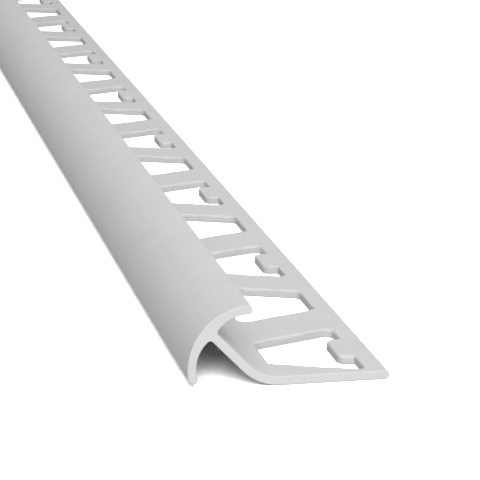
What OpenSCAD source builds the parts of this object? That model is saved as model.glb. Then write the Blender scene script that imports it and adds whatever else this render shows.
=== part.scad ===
// Tile edge trim: one length of extruded rigid PVC, with a quarter-round nose, a sloping web and a
// flat anchoring leg that is punched with alternating slots. Millimetres, Z up: the leg lies on Z = 0,
// the length runs along Y and the nose is at -X.

/* [Stock] */
// Length of the piece as sold
length = 2500; // [300:50:3000]
// Overall width, from the face of the nose to the edge of the rail
width = 26; // [25:0.5:36]

/* [Tile seat] */
// Thickness of the tile that the trim edges
tile = 8; // [7:0.25:11]
// Adhesive bed between the leg and the tile, whose face ends level with the crown of the nose
bed = 1.5; // [0.5:0.1:3]
// Wall of the leg and the web
wall = 1.15; // [0.8:0.05:1.5]

/* [Nose] */
// Thickness of the lip beside the tile
lip_wall = 1.25; // [0.9:0.05:1.5]
// Thickness of the skirt on the side of the nose
skirt_wall = 1.1; // [0.8:0.05:1.5]
// Height of the centre of the nose's arc above the floor
nose_centre = 2.4; // [2.2:0.1:3.4]
// How far the inside arcs are set off from the nose's arc, which thickens its middle
inside_set = 2.4; // [1.8:0.1:2.8]
// Height of the hollow's arc above the nose's centre
hollow_rise = 0.25; // [0:0.05:0.6]
// Set-back of the lip's underside arc from the crown of the nose
lip_set = 0.65; // [0.3:0.05:1]
// How far the skirt runs below the nose's centre, in degrees of its arc
skirt_sweep = 7.7; // [4:0.1:9]
// How far the lip stops short of the crown, in degrees of the nose's arc
lip_stop = 4.2; // [2:0.1:8]

/* [Web and bend] */
// Slope of the web over the floor, in degrees
web_slope = 46.4; // [42:0.2:50]
// Distance from the nose's face to the foot of the web's underside
web_foot = 9; // [8.6:0.1:9.8]
// Radius of the bend's underside, from the web to the leg
bend_radius = 6.6; // [4:0.2:8]
// Radius of the two fillets where the web meets the nose
root_fillet = 0.5; // [0.3:0.05:0.7]

/* [Slots in the leg] */
// Distance from one slot to the next
pitch = 23.75; // [22:0.25:30]
// Longer parallel side of a slot
slot_long = 19.6; // [14:0.2:21]
// Shorter parallel side of a slot
slot_short = 9.8; // [8:0.2:12]
// Reach of a slot across the leg
slot_across = 11.6; // [8:0.2:12]
// Radius of a slot's corners
slot_corner = 1; // [0.4:0.1:1.6]
// Width of the plain rail outside the slots
rail = 2.8; // [1.5:0.1:4]
// Plain leg between the cut end and the first slot
end_margin = 1.1; // [0.5:0.1:6]
// How far every second slot is set on from the middle between its neighbours
slot_shift = 0.7; // [0:0.1:1.5]
// Length of the tongue that stands into every second slot from the rail
tongue_length = 8; // [5:0.1:9]
// How far the tongue stands into its slot
tongue_reach = 2.1; // [1.4:0.1:2.6]
// Radius of the tongue's free corners
tongue_corner = 1.2; // [0.4:0.1:1.3]
// How far the tongue is set on from the middle of its slot
tongue_set = 0.4; // [0:0.1:1]

/* [Hidden] */
$fn = 96;
over = 2;
blend = 0.0005;
height = wall + bed + tile;
nose_radius = height - nose_centre;
nose_mid = [nose_radius, nose_centre];
hollow_radius = nose_radius - skirt_wall - inside_set;
hollow_mid = nose_mid + [-inside_set, hollow_rise];
under_radius = nose_radius - lip_wall - inside_set;
under_mid = nose_mid + [-lip_set, inside_set];
web_along = [-cos(web_slope), sin(web_slope)];
web_up = [sin(web_slope), cos(web_slope)];
web_start = [web_foot, 0];
bend_tangent = bend_radius * tan(web_slope / 2);
flat_start = web_foot + bend_tangent;
web_run = along_to(nose_mid, nose_radius, wall / 2) - wall / 2 - bend_tangent;
slot_start = width - rail - slot_across;
slot_lean = atan((slot_long - slot_short) / (2 * slot_across));
slots = floor((length - 2 * end_margin - slot_long - slot_shift) / pitch) + 1;

// Unit vector at an angle
function unit(a) = [cos(a), sin(a)];

// Radius of the round end that fills the wall between the nose's arc and an inside arc at angle a
function end_radius(mid, radius, a) =
    let (gap = nose_mid - mid)
    let (turn = gap * unit(a))
    (gap * gap + 2 * nose_radius * turn + nose_radius * nose_radius - radius * radius)
    / (2 * (turn + nose_radius + radius));

// Centre of that round end
function end_mid(mid, radius, a) = nose_mid + (nose_radius - end_radius(mid, radius, a)) * unit(a);

// Point where that round end touches the inside arc
function end_touch(mid, radius, a) =
    let (away = end_mid(mid, radius, a) - mid)
    mid + radius * away / norm(away);

// Distance along the web from its foot to a circle, measured at a height h over the web's underside
function along_to(mid, radius, h) =
    let (from = mid - web_start - h * web_up)
    let (side = from * web_up)
    from * web_along + sqrt(radius * radius - side * side);

// Centre of a fillet between one face of the web at height h and an inside arc, on the side s of the web
function fillet_mid(mid, radius, h, s) =
    let (level = h + s * root_fillet)
    web_start + level * web_up + along_to(mid, radius - root_fillet, level) * web_along;

// Fillet between one face of the web and an inside arc
module fillet(mid, radius, h, s) {
    centre = fillet_mid(mid, radius, h, s);
    on_web = centre - s * (root_fillet + 0.05 * wall) * web_up;
    away = centre - mid;
    on_arc = centre + (root_fillet + 0.05 * wall) * away / norm(away);
    corner = web_start + h * web_up + along_to(mid, radius, h) * web_along;
    inner = corner + 0.3 * wall * web_along - 0.4 * s * wall * web_up;
    difference() {
        if (s > 0)
            polygon([centre, on_arc, inner, on_web]);
        else
            polygon([centre, on_web, inner, on_arc]);
        translate(centre) circle(root_fillet + 2 * blend);
    }
}

// Quarter-round nose with its lip and skirt, each ending in a full round
module nose() {
    lip_angle = 90 + lip_stop;
    skirt_angle = 180 + skirt_sweep;
    lip_end = end_touch(under_mid, under_radius, lip_angle);
    skirt_end = end_touch(hollow_mid, hollow_radius, skirt_angle);
    lip_face = nose_mid + nose_radius * unit(lip_angle);
    skirt_face = nose_mid + nose_radius * unit(skirt_angle);
    middle = web_start + wall / 2 * web_up + (along_to(nose_mid, nose_radius, wall / 2) - 3) * web_along;
    lip_far = lip_end + 2 * (lip_face - lip_end);
    skirt_far = skirt_end + 2 * (skirt_face - skirt_end);
    corner = [-over, height + over];
    difference() {
        intersection() {
            translate(nose_mid) circle(nose_radius);
            polygon([skirt_end, middle, lip_end, lip_far, corner, skirt_far]);
        }
        intersection() {
            translate(under_mid) circle(under_radius);
            web_side(0.6 * wall, 1);
        }
        intersection() {
            translate(hollow_mid) circle(hollow_radius);
            web_side(0.4 * wall, -1);
        }
    }
    translate(end_mid(under_mid, under_radius, lip_angle))
        circle(end_radius(under_mid, under_radius, lip_angle) + blend);
    translate(end_mid(hollow_mid, hollow_radius, skirt_angle))
        circle(end_radius(hollow_mid, hollow_radius, skirt_angle) + blend);
}

// Everything on one side of a line along the web, at height h over the web's underside
module web_side(h, s) {
    reach = 3 * height;
    foot = web_start + h * web_up;
    near = foot - reach * web_along;
    far = foot + reach * web_along;
    if (s > 0)
        polygon([far, near, near + reach * web_up, far + reach * web_up]);
    else
        polygon([near, far, far - reach * web_up, near - reach * web_up]);
}

// Everything over a surface that runs at one level over the underside of the web, the bend and the leg,
// and that goes past the ends of the strip by some margin
module over_strip(level, margin) {
    radius = bend_radius - level;
    mid = [flat_start, bend_radius];
    low = mid - (radius - blend) * web_up;
    high = low + (web_run + margin) * web_along;
    right = width - wall / 2 + margin;
    top = height + 2 * bend_radius + margin;
    rise = (top - high[1]) / web_up[1];
    polygon([high, low, [flat_start, level], [right, level], [right, top], high + rise * web_up]);
    translate(mid) circle(radius);
}

// One strip of even wall: the sloping web, the bend and the flat leg, with a rounded edge on its rail
module strip() {
    difference() {
        over_strip(0, 0);
        over_strip(wall, over);
    }
    translate([width - wall / 2, wall / 2]) circle(wall / 2);
}

// Whole section, X across and Y up, from the nose's face
module section() {
    nose();
    strip();
    fillet(hollow_mid, hollow_radius, 0, -1);
    fillet(under_mid, under_radius, wall, 1);
}

// Slot with round corners, its long side on X = 0 and centred on Y = 0
module slot() {
    lean_gap = slot_corner / cos(slot_lean);
    fall = tan(slot_lean);
    long_y = slot_long / 2 - fall * slot_corner - lean_gap;
    short_y = slot_long / 2 - fall * (slot_across - slot_corner) - lean_gap;
    out_x = slot_corner * sin(slot_lean);
    out_y = slot_corner * cos(slot_lean);
    long_x = slot_corner;
    short_x = slot_across - slot_corner;
    polygon([
        [0, -long_y],
        [long_x + out_x, -long_y - out_y],
        [short_x + out_x, -short_y - out_y],
        [slot_across, -short_y],
        [slot_across, short_y],
        [short_x + out_x, short_y + out_y],
        [long_x + out_x, long_y + out_y],
        [0, long_y]
    ]);
    for (s = [-1, 1]) {
        translate([long_x, s * long_y]) circle(slot_corner + blend);
        translate([short_x, s * short_y]) circle(slot_corner + blend);
    }
}

// Tongue with round free corners, standing from X = 0 towards +X
module tongue() {
    half = tongue_length / 2;
    translate([-over, -half]) square([over + tongue_reach - tongue_corner, tongue_length]);
    translate([-over, tongue_corner - half]) square([over + tongue_reach, tongue_length - 2 * tongue_corner]);
    for (s = [-1, 1])
        translate([tongue_reach - tongue_corner, s * (half - tongue_corner)]) circle(tongue_corner);
}

// Punch for slot number i, counted from the end at -Y: even slots are wide at the rail and hold a tongue
module punch(i) {
    at_y = end_margin + slot_long / 2 + i * pitch + (i % 2) * slot_shift - length / 2;
    translate([slot_start - width / 2, at_y, -over])
        linear_extrude(wall + 2 * over)
            if (i % 2 == 0)
                translate([slot_across, 0]) mirror([1, 0])
                    difference() {
                        slot();
                        translate([0, tongue_set]) tongue();
                    }
            else
                slot();
}

// The trim: the section run along Y, less the punched slots
module edge_trim() {
    color("#d3d3d3")
        difference() {
            translate([-width / 2, length / 2, 0])
                rotate([90, 0, 0])
                    linear_extrude(length)
                        section();
            for (i = [0 : slots - 1])
                punch(i);
        }
}

edge_trim();
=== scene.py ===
import math

import bpy
import numpy as np
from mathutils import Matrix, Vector


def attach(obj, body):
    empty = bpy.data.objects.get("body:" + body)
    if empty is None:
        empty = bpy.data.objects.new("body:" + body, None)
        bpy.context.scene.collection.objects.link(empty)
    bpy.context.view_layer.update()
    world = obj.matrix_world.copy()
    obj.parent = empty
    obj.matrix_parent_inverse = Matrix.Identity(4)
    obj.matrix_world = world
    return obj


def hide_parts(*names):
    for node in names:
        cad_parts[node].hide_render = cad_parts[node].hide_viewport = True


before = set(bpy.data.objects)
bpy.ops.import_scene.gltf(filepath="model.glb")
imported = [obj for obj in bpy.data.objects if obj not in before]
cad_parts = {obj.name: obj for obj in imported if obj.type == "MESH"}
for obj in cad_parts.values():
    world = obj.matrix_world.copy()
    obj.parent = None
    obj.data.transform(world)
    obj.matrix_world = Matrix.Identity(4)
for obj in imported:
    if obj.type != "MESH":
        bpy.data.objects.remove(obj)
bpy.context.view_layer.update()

# Edge trim
# One length of rigid PVC, extruded through a die to a constant section, with slots punched through its flat
# leg and both ends sawn. The nose is a quarter round that ends in a full-round lip and a full-round skirt.

# Sizes in millimetres and angles in degrees
length = 2500.0
width = 26.0
wall = 1.15
height = 10.65
nose_centre = 2.4
lip_wall = 1.25
skirt_wall = 1.1
inside_set = 2.4
hollow_rise = 0.25
lip_set = 0.65
skirt_sweep = 7.7
lip_stop = 4.2
web_slope = 46.4
web_foot = 9.0
bend_radius = 6.6
root_fillet = 0.5
pitch = 23.75
slot_long = 19.6
slot_short = 9.8
slot_across = 11.6
slot_corner = 1.0
rail = 2.8
end_margin = 1.1
slot_shift = 0.7
tongue_length = 8.0
tongue_reach = 2.1
tongue_corner = 1.2
tongue_set = 0.4
# The punch rolls the upper edge of a slot and leaves its lower edge crisp, and the saw cut is deburred. The
# roll comes and goes along the slot by a share of its size.
roll = 0.3
roll_swing = 0.6
crisp = 0.05
deburr = 0.08
# A narrow strip of flat beside each rounded edge, which keeps the shading of the flats even
border = 0.06
# Plain leg between the slots and the line where the nose's part of the section begins
cell_margin = 0.5
# Steps in each arc of the section, then in the arcs of a slot and in its four sides
bend_steps = 7
fillet_steps = 8
inside_steps = 12
round_steps = 16
nose_steps = 36
rail_steps = 10
corner_steps = 7
tongue_steps = 6
side_steps = (12, 4, 12, 1)

# Places that follow from the sizes, in the section: across from the nose's face, and up from the floor
nose_radius = height - nose_centre
nose_mid = np.array([nose_radius, nose_centre])
hollow_radius = nose_radius - skirt_wall - inside_set
hollow_mid = nose_mid + [-inside_set, hollow_rise]
under_radius = nose_radius - lip_wall - inside_set
under_mid = nose_mid + [-lip_set, inside_set]
web_along = np.array([-math.cos(math.radians(web_slope)), math.sin(math.radians(web_slope))])
web_up = np.array([math.sin(math.radians(web_slope)), math.cos(math.radians(web_slope))])
foot = np.array([web_foot, 0.0])
flat_start = web_foot + bend_radius * math.tan(math.radians(web_slope / 2))
bend_mid = np.array([flat_start, bend_radius])
slot_start = width - rail - slot_across
slot_lean = math.degrees(math.atan((slot_long - slot_short) / (2 * slot_across)))
slots = int((length - 2 * end_margin - slot_long - slot_shift) // pitch) + 1
first_slot = end_margin + slot_long / 2
rail_mid = np.array([width - wall / 2, wall / 2])
# The slotted cells of the leg lie between these two lines
leg_left = slot_start - cell_margin
leg_right = rail_mid[0] - border


def angle(v):
    """Direction of a vector in degrees, from 0 to 360."""
    return math.degrees(math.atan2(v[1], v[0])) % 360


def arc(centre, radius, start, end, steps, side):
    """Points c + r (cos t, sin t) for t from start to end in degrees, with side (cos t, sin t) as normals:
    one row of across, up, normal across, normal up for each point."""
    t = np.radians(np.linspace(start, end, steps + 1))
    ray = np.stack([np.cos(t), np.sin(t)], 1)
    return np.hstack([np.asarray(centre) + radius * ray, side * ray])


def line(a, b, normal):
    """The straight from a to b as two points, each set in from its end by the border."""
    step = border * (b - a) / np.linalg.norm(b - a)
    return np.array([[*(a + step), *normal], [*(b - step), *normal]])


def round_end(mid, radius, degrees):
    """Circle that touches the nose's arc from inside at an angle and an inside arc from outside.
    With g = C - M and u the unit vector, r = (g.g + 2 R g.u + R^2 - m^2) / 2 (g.u + R + m)."""
    u = np.array([math.cos(math.radians(degrees)), math.sin(math.radians(degrees))])
    g = nose_mid - mid
    top = g @ g + 2 * nose_radius * (g @ u) + nose_radius**2 - radius**2
    r = top / (2 * (g @ u + nose_radius + radius))
    return nose_mid + (nose_radius - r) * u, r


def fillet_mid(mid, radius, h, side):
    """Centre at height k = h + side f over the web's underside and at r - f from the inside arc's centre:
    along the web that is d.a + sqrt((r - f)^2 - (d.n)^2), with d from the web's foot to the arc's centre."""
    k = h + side * root_fillet
    d = mid - foot - k * web_up
    along = d @ web_along + math.sqrt((radius - root_fillet) ** 2 - (d @ web_up) ** 2)
    return foot + k * web_up + along * web_along


# The section from the upper side of the leg over the web, the lip, the nose and the skirt to the underside
lip_mid, lip_round = round_end(under_mid, under_radius, 90 + lip_stop)
skirt_mid, skirt_round = round_end(hollow_mid, hollow_radius, 180 + skirt_sweep)
upper_fillet = fillet_mid(under_mid, under_radius, wall, 1)
lower_fillet = fillet_mid(hollow_mid, hollow_radius, 0.0, -1)
bend_top = 270 - math.degrees(math.asin((flat_start - leg_left) / (bend_radius - wall)))
bend_low = 270 - math.degrees(math.asin((flat_start - leg_left) / bend_radius))
upper_web = (bend_mid - (bend_radius - wall) * web_up, upper_fillet - root_fillet * web_up)
lower_web = (lower_fillet + root_fillet * web_up, bend_mid - bend_radius * web_up)
lip_angle = angle(lip_mid - under_mid)
skirt_angle = angle(skirt_mid - hollow_mid)
upper_angle = angle(upper_fillet - under_mid)
lower_angle = angle(lower_fillet - hollow_mid)
nose = np.concatenate([
    arc(bend_mid, bend_radius - wall, bend_top, 270 - web_slope, bend_steps, -1),
    line(*upper_web, web_up),
    arc(upper_fillet, root_fillet, 270 - web_slope, upper_angle, fillet_steps, -1)[:-1],
    arc(under_mid, under_radius, upper_angle, lip_angle, inside_steps, -1)[:-1],
    arc(lip_mid, lip_round, lip_angle - 180, 90 + lip_stop, round_steps, 1)[:-1],
    arc(nose_mid, nose_radius, 90 + lip_stop, 180 + skirt_sweep, nose_steps, 1)[:-1],
    arc(skirt_mid, skirt_round, 180 + skirt_sweep, skirt_angle + 180, round_steps, 1)[:-1],
    arc(hollow_mid, hollow_radius, skirt_angle, lower_angle, inside_steps, -1)[:-1],
    arc(lower_fillet, root_fillet, lower_angle, 90 - web_slope, fillet_steps, -1),
    line(*lower_web, -web_up),
    arc(bend_mid, bend_radius, 270 - web_slope, bend_low, bend_steps, 1),
])
edge_round = np.concatenate([
    [[leg_right, 0.0, 0.0, -1.0]],
    arc(rail_mid, wall / 2, -90, 90, rail_steps, 1),
    [[leg_right, wall, 0.0, 1.0]],
])


def leg_surface(across, radius):
    """Height of one face of the leg: level, and B - sqrt(r^2 - (F - across)^2) where the bend has begun."""
    into = np.clip(flat_start - across, 0, None)
    return bend_radius - np.sqrt(radius**2 - into**2)


def slot_outline(with_tongue):
    """Outline of a slot, anticlockwise from above: four corner arcs and the straights between them. The long
    side is towards the nose, or towards the rail where a tongue stands in it. Each row holds a point from the
    slot's start and middle, the unit vector into the leg, the place in the leg's cell (0 to 1 across and
    along) that the leg's face reaches from there, and a 1 where that place keeps its own distance along."""
    lean = -(90 + slot_lean) if with_tongue else -(90 - slot_lean)
    fall = math.tan(math.radians(slot_lean))
    gap = slot_corner / math.cos(math.radians(slot_lean))
    long_y = slot_long / 2 - fall * slot_corner - gap
    short_y = slot_long / 2 - fall * (slot_across - slot_corner) - gap
    left_y, right_y = (short_y, long_y) if with_tongue else (long_y, short_y)
    far_x = slot_across - slot_corner
    corners = [
        arc((slot_corner, -left_y), slot_corner, 180, 360 + lean, corner_steps, 1),
        arc((far_x, -right_y), slot_corner, lean, 0, corner_steps, 1),
        arc((far_x, right_y), slot_corner, 0, -lean, corner_steps, 1),
        arc((slot_corner, left_y), slot_corner, -lean, 180, corner_steps, 1),
    ]
    places = np.array([[0.0, 0.0], [1.0, 0.0], [1.0, 1.0], [0.0, 1.0]])
    half = tongue_length / 2
    turn = slot_across - tongue_reach + tongue_corner
    tongue = np.concatenate([
        [[slot_across, -half, 1.0, 1.0]],
        arc((turn, tongue_corner - half), tongue_corner, 270, 180, tongue_steps, -1),
        arc((turn, half - tongue_corner), tongue_corner, 180, 90, tongue_steps, -1),
        [[slot_across, half, 1.0, -1.0]],
    ]) + [0.0, tongue_set, 0.0, 0.0]
    inset = half - border - 2 * roll
    spread = tongue_set + np.linspace(-inset, inset, len(tongue))
    parts = []
    for k, steps in enumerate(side_steps):
        this = corners[k]
        following = corners[(k + 1) % 4]
        parts.append(np.hstack([this, np.tile([*places[k], 0.0], (len(this), 1))]))
        if k == 1 and with_tongue:
            parts.append(np.column_stack([tongue, np.ones_like(spread), spread, np.ones_like(spread)]))
            continue
        t = np.arange(1, steps)[:, None] / steps
        points = this[-1] + t * (following[0] - this[-1])
        reached = places[k] + t * (places[(k + 1) % 4] - places[k])
        parts.append(np.hstack([points, reached, np.zeros_like(t)]))
    return np.concatenate(parts)


# Finishes, in the order of the mesh's materials
EXTRUDED = 0
PUNCHED = 1
ROLLED = 2
SAWN = 3
patches = []


def strip(before, after, finish):
    """The quads between two rows of points of equal number, anticlockwise from outside."""
    quads = np.stack([before[:-1], before[1:], after[1:], after[:-1]], 1)
    patches.append((quads, np.full(len(quads), finish)))


def run(section, along, finish):
    """The section's points carried along Y: the quads of the grid P(i, j) = (across i, along j, up i)."""
    grid = np.empty((len(section), len(along), 3))
    grid[..., 0] = section[:, None, 0]
    grid[..., 1] = along
    grid[..., 2] = section[:, None, 1]
    quads = np.stack([grid[:-1, :-1], grid[:-1, 1:], grid[1:, 1:], grid[1:, :-1]], 2).reshape(-1, 4, 3)
    patches.append((quads, np.full(len(quads), finish)))


def ring(across, along, up):
    """A closed row of points, its first one repeated at the end."""
    points = np.stack([across, along, up], 1)
    return np.concatenate([points, points[:1]])


def unevenness(rows, i):
    """How much wider or narrower the rolled edge is along slot number i, from -1 to 1: a sum of 8, 19 and 31
    sine waves round the outline, about 7, 3 and 2 mm long, with phases that differ from slot to slot. Each
    row of waves holds a number of waves, their height and their phase."""
    steps = np.linalg.norm(np.diff(rows[:, :2], axis=0, append=rows[:1, :2]), axis=1)
    share = (np.cumsum(steps) - steps) / steps.sum()
    waves = np.array([[8, 0.5, 2.4], [19, 0.3, 4.1], [31, 0.2, 1.3]])
    turns = 2 * math.pi * share[:, None] * waves[:, 0] + waves[:, 2] * (i + 1)
    return np.sin(turns) @ waves[:, 1]


# The leg and the nose are laid slot by slot. In each cell, rings of points lead from the cell's border over
# the rolled edge, through the slot and back underneath. Each ring on the rolled edge has a distance outside
# the roll and an angle on it in degrees.
roll_rings = ((border, 0.0), (0.0, 0.0), (0.0, 30.0), (0.0, 60.0), (0.0, 90.0))
ring_finishes = (EXTRUDED, EXTRUDED, ROLLED, ROLLED, ROLLED, PUNCHED, PUNCHED, EXTRUDED)
outlines = [slot_outline(True), slot_outline(False)]
for i in range(slots):
    rows = outlines[i % 2]
    from_start, from_middle, out_x, out_y, cell_across, cell_along, own_distance = rows.T
    middle = first_slot + i * pitch + (i % 2) * slot_shift
    cell_start = first_slot + (i - 0.5) * pitch + slot_shift / 2 if i > 0 else deburr
    cell_end = first_slot + (i + 0.5) * pitch + slot_shift / 2 if i < slots - 1 else length - deburr
    x = slot_start + from_start
    y = middle + from_middle
    cell_x = leg_left + cell_across * (leg_right - leg_left)
    shared_y = cell_start + cell_along * (cell_end - cell_start)
    cell_y = np.where(own_distance == 1, middle + cell_along, shared_y)
    low = leg_surface(x, bend_radius)
    own_roll = roll * (1 + roll_swing * unevenness(rows, i))
    rings = [ring(cell_x, cell_y, leg_surface(cell_x, bend_radius - wall))]
    for offset, t in roll_rings:
        out = offset + own_roll * (1 - math.sin(math.radians(t)))
        edge_x = x + out * out_x
        drop = own_roll * (1 - math.cos(math.radians(t)))
        rings.append(ring(edge_x, y + out * out_y, leg_surface(edge_x, bend_radius - wall) - drop))
    rings.append(ring(x, y, low + crisp))
    rings.append(ring(x + crisp * out_x, y + crisp * out_y, low))
    rings.append(ring(cell_x, cell_y, leg_surface(cell_x, bend_radius)))
    for before, after, kind in zip(rings, rings[1:], ring_finishes):
        strip(before, after, kind)
    run(nose, np.unique(cell_y[cell_across == 0]), EXTRUDED)
    run(edge_round, np.unique(cell_y[cell_across == 1]), EXTRUDED)

# Each sawn end is the section's whole outline, drawn in by the deburred edge
leg_points = 13
across = np.linspace(leg_left, leg_right, leg_points)[1:-1]
under = np.stack([across, leg_surface(across, bend_radius), 0 * across, 0 * across - 1], 1)
over = np.stack([across, leg_surface(across, bend_radius - wall), 0 * across, 0 * across + 1], 1)[::-1]
outline = np.concatenate([nose, under, edge_round, over])
drawn_in = outline[:, :2] - deburr * outline[:, 2:]
ends = []
for cut, start, turn in ((0.0, deburr, 1), (length, length - deburr, -1)):
    outer = ring(outline[:, 0], np.full(len(outline), start), outline[:, 1])[::turn]
    inner = ring(drawn_in[:, 0], np.full(len(outline), cut), drawn_in[:, 1])[::turn]
    strip(outer, inner, SAWN)
    ends.append(inner[:-1])

# One welded mesh in metres, with corners that agree to a ten-thousandth of a millimetre as one. A quad whose
# neighbouring corners fall together keeps three of them, and edges that turn further than an angle are sharp.
weld_grid = 1e4
sharp_angle = 28.0
mm = 0.001
quads = np.concatenate([q for q, _ in patches])
finish = np.concatenate([f for _, f in patches])
corners = np.concatenate([quads.reshape(-1, 3), *ends])
_, first_of, vertex_of = np.unique(
    np.round(corners * weld_grid), axis=0, return_index=True, return_inverse=True
)
vertex_of = vertex_of.ravel()
verts = (corners[first_of] - [width / 2, length / 2, 0.0]) * mm
index = vertex_of[: 4 * len(quads)].reshape(-1, 4)
kept = index != np.roll(index, 1, axis=1)
sound = kept.sum(1) > 2
sizes = np.concatenate([kept[sound].sum(1), [len(e) for e in ends]])
loops = np.concatenate([index[sound][kept[sound]], vertex_of[4 * len(quads) :]])
starts = np.concatenate([[0], np.cumsum(sizes)[:-1]])
finishes = np.concatenate([finish[sound], [SAWN] * len(ends)])
mesh = bpy.data.meshes.new("edge_trim_extrusion")
mesh.vertices.add(len(verts))
mesh.vertices.foreach_set("co", verts.ravel())
mesh.loops.add(len(loops))
mesh.loops.foreach_set("vertex_index", loops.astype(np.int32))
mesh.polygons.add(len(sizes))
mesh.polygons.foreach_set("loop_start", starts.astype(np.int32))
mesh.polygons.foreach_set("material_index", finishes.astype(np.int32))
mesh.update(calc_edges=True)
mesh.shade_smooth()
mesh.set_sharp_from_angle(angle=math.radians(sharp_angle))
trim = bpy.data.objects.new("edge_trim_extrusion", mesh)
bpy.context.scene.collection.objects.link(trim)


def linear(code):
    """Linear RGBA of an sRGB hex colour: c / 12.92, or ((c + 0.055) / 1.055)^2.4 above 0.04045."""
    parts = [int(code[k : k + 2], 16) / 255 for k in (1, 3, 5)]
    return [c / 12.92 if c <= 0.04045 else ((c + 0.055) / 1.055) ** 2.4 for c in parts] + [1.0]


def add(tree, kind, inputs=None, **settings):
    """A node with its settings and inputs; an input that is a socket is linked, any other is its value."""
    node = tree.nodes.new(kind)
    for name, value in settings.items():
        setattr(node, name, value)
    for name, value in (inputs or {}).items():
        if isinstance(value, bpy.types.NodeSocket):
            tree.links.new(value, node.inputs[name])
        else:
            node.inputs[name].default_value = value
    return node


# Three patches of the mottle come to 25 mm. The tone goes from dark to pale over the range that the sum of
# the marks and the mottle takes, and the marks also move the roughness a little to either side.
mottle_size = 25.0 / 3
tone_low = 0.6
tone_high = 1.4
rough_swing = 0.06


def pvc(name, pale, dark, roughness, grain, depth):
    """Rigid PVC: grain is the size of the surface's marks in millimetres along X, Y and Z, and depth their
    relief in millimetres. They are drawn coarser than the real ones, which are too fine to show. A broad,
    faint mottle shifts the colour as the compound's mixing does."""
    material = bpy.data.materials.new(name)
    material.use_nodes = True
    tree = material.node_tree
    shader = tree.nodes["Principled BSDF"]
    place = add(tree, "ShaderNodeTexCoord").outputs["Object"]
    stretch = add(tree, "ShaderNodeMapping", {"Vector": place, "Scale": [1 / (g * mm) for g in grain]})
    marks = add(
        tree, "ShaderNodeTexNoise", {"Vector": stretch.outputs["Vector"], "Scale": 1.0, "Detail": 3.0}
    ).outputs["Fac"]
    mottle = add(
        tree, "ShaderNodeTexNoise", {"Vector": place, "Scale": 1 / (mottle_size * mm), "Detail": 4.0}
    ).outputs["Fac"]
    both = add(tree, "ShaderNodeMath", {0: marks, 1: mottle}, operation="ADD").outputs[0]
    tone = add(
        tree, "ShaderNodeMapRange", {"Value": both, "From Min": tone_low, "From Max": tone_high}
    ).outputs["Result"]
    colour = add(
        tree, "ShaderNodeMix", {0: tone, 6: linear(dark), 7: linear(pale)}, data_type="RGBA"
    ).outputs[2]
    tree.links.new(colour, shader.inputs["Base Color"])
    smoothest = roughness - rough_swing
    roughest = roughness + rough_swing
    rough = add(
        tree, "ShaderNodeMapRange", {"Value": marks, "To Min": smoothest, "To Max": roughest}
    ).outputs["Result"]
    tree.links.new(rough, shader.inputs["Roughness"])
    relief = add(tree, "ShaderNodeBump", {"Height": marks, "Distance": depth * mm, "Strength": 1.0})
    tree.links.new(relief.outputs["Normal"], shader.inputs["Normal"])
    # The IOR is that of rigid PVC, and the low level stands for the gloss that its finest grain takes away
    shader.inputs["IOR"].default_value = 1.53
    shader.inputs["Specular IOR Level"].default_value = 0.2
    return material


# Skin from the die: even and matt, with faint die lines along the length that only show in grazing light
extruded = pvc(
    "rigid PVC, extruded",
    pale="#d8d8d8",
    dark="#d0d0d0",
    roughness=0.62,
    grain=(0.25, 60.0, 0.25),
    depth=0.003,
)
# Sheared by the punch: a shade darker and duller than the skin, with short upright tears
punched = pvc(
    "rigid PVC, punched",
    pale="#d1d1d1",
    dark="#c7c7c7",
    roughness=0.7,
    grain=(0.2, 0.2, 1.5),
    depth=0.01,
)
# Bent by the punch before it shears: the strain whitens the PVC, and a painted highlight on the rolled edge
# adds to it, so that a pale band runs round each slot
whitened_and_highlit = pvc(
    "rigid PVC, stress-whitened, painted highlight",
    pale="#dadada",
    dark="#d4d4d4",
    roughness=0.7,
    grain=(0.2, 0.2, 1.5),
    depth=0.01,
)
# Cut by the saw: duller than the skin, with fine cutter marks across the section. It is paler than the skin,
# partly as a sawn face is and partly as painted light that brightens the end face
sawn = pvc(
    "rigid PVC, sawn",
    pale="#dddddd",
    dark="#d6d6d6",
    roughness=0.7,
    grain=(0.9, 1.0, 0.12),
    depth=0.008,
)
for material in (extruded, punched, whitened_and_highlit, sawn):
    mesh.materials.append(material)
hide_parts("edge_trim")
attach(trim, "root")

# Floor
# A seamless white studio table. For the camera it is over-exposed, as in a cut-out product picture: its open
# parts burn out to white, and only the deep shade under the nose and along the skirt stays. The light that it
# throws back on the trim is that of a plain grey table.

# Half the table's side and its depth under the trim, in metres, and its grey for each kind of ray
side = 40.0
sink = 0.00005
grey = 0.5
white = 1.0
over_exposed = 2.6
floor_mesh = bpy.data.meshes.new("floor")
floor_mesh.from_pydata(
    [(-side, -side, -sink), (side, -side, -sink), (side, side, -sink), (-side, side, -sink)],
    [],
    [(0, 1, 2, 3)],
)
floor = bpy.data.objects.new("floor", floor_mesh)
bpy.context.scene.collection.objects.link(floor)
paper = bpy.data.materials.new("white table")
paper.use_nodes = True
tree = paper.node_tree
rays = add(tree, "ShaderNodeLightPath").outputs
mirrored = add(
    tree, "ShaderNodeMath", {0: rays["Is Glossy Ray"], 1: rays["Is Transmission Ray"]}, operation="MAXIMUM"
).outputs[0]
plain = add(
    tree, "ShaderNodeMapRange", {"Value": mirrored, "To Min": grey, "To Max": white}
).outputs["Result"]
burnt = add(
    tree, "ShaderNodeMapRange", {"Value": rays["Is Camera Ray"], "To Min": plain, "To Max": over_exposed}
).outputs["Result"]
matt = add(tree, "ShaderNodeBsdfDiffuse", {"Color": burnt}).outputs["BSDF"]
tree.links.new(matt, tree.nodes["Material Output"].inputs["Surface"])
floor_mesh.materials.append(paper)

# Light
# A pale room with three soft boxes. One hangs over the middle and the far half of the trim, a small one close
# over its near end, and one stands in front, which makes the sawn end the brightest face. The last two are so
# near that their light falls off along the trim.


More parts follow.
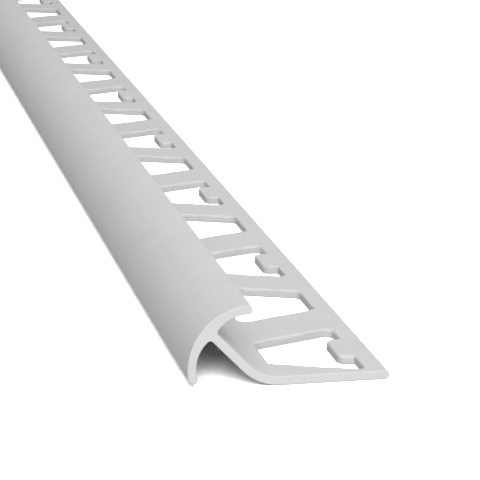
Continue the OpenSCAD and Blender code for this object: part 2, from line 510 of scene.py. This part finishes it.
def soft_box(name, at, aim, size, power, spread):
    """Rectangular area light of two sides in metres, turned from one point to another, with a grid in front
    that holds its beam to an angle in degrees."""
    lamp = bpy.data.lights.new(name, "AREA")
    lamp.shape = "RECTANGLE"
    lamp.size = size[0]
    lamp.size_y = size[1]
    lamp.energy = power
    lamp.spread = math.radians(spread)
    box = bpy.data.objects.new(name, lamp)
    box.location = at
    box.rotation_euler = (Vector(aim) - Vector(at)).to_track_quat("-Z", "Y").to_euler()
    bpy.context.scene.collection.objects.link(box)


soft_box("far", at=(0.0, 0.9, 1.5), aim=(0.0, 0.9, 0.0), size=(0.8, 2.2), power=4.0, spread=60.0)
soft_box("over", at=(0.1, -1.16, 0.35), aim=(0.0, -1.16, 0.0), size=(0.3, 0.3), power=0.27, spread=180.0)
soft_box("front", at=(-0.15, -2.3, 0.75), aim=(0.0, -1.25, 0.0), size=(0.6, 0.7), power=12.7, spread=180.0)
room_level = 0.4
world = bpy.data.worlds.new("room")
world.use_nodes = True
room = world.node_tree
rays = add(room, "ShaderNodeLightPath").outputs
mirrored = add(
    room, "ShaderNodeMath", {0: rays["Is Glossy Ray"], 1: rays["Is Transmission Ray"]}, operation="MAXIMUM"
).outputs[0]
shown = add(room, "ShaderNodeMath", {0: rays["Is Camera Ray"], 1: mirrored}, operation="MAXIMUM").outputs[0]
level = add(
    room, "ShaderNodeMapRange", {"Value": shown, "To Min": room_level, "To Max": white}
).outputs["Result"]
room.nodes["Background"].inputs["Color"].default_value = (1.0, 1.0, 1.0, 1.0)
room.links.new(level, room.nodes["Background"].inputs["Strength"])
bpy.context.scene.world = world
bpy.context.scene.view_settings.view_transform = "Standard"

# Camera
# Low, beside the sawn end, looking along the trim from the nose's side. The focal length is in pixels of the
# picture, the tilt is down from the level and the turn to the right of the trim's length, in degrees.
picture = 480
focal_length = 2394.3
tilt = 13.743
turn = 11.189
lens = bpy.data.cameras.new("camera")
lens.sensor_width = 36.0
lens.lens = lens.sensor_width * focal_length / picture
lens.clip_start = 0.01
lens.clip_end = 100.0
camera = bpy.data.objects.new("camera", lens)
camera.location = (-0.06209, -1.53175, 0.0893)
camera.rotation_euler = (math.radians(90 - tilt), 0.0, math.radians(-turn))
bpy.context.scene.collection.objects.link(camera)
bpy.context.scene.camera = camera
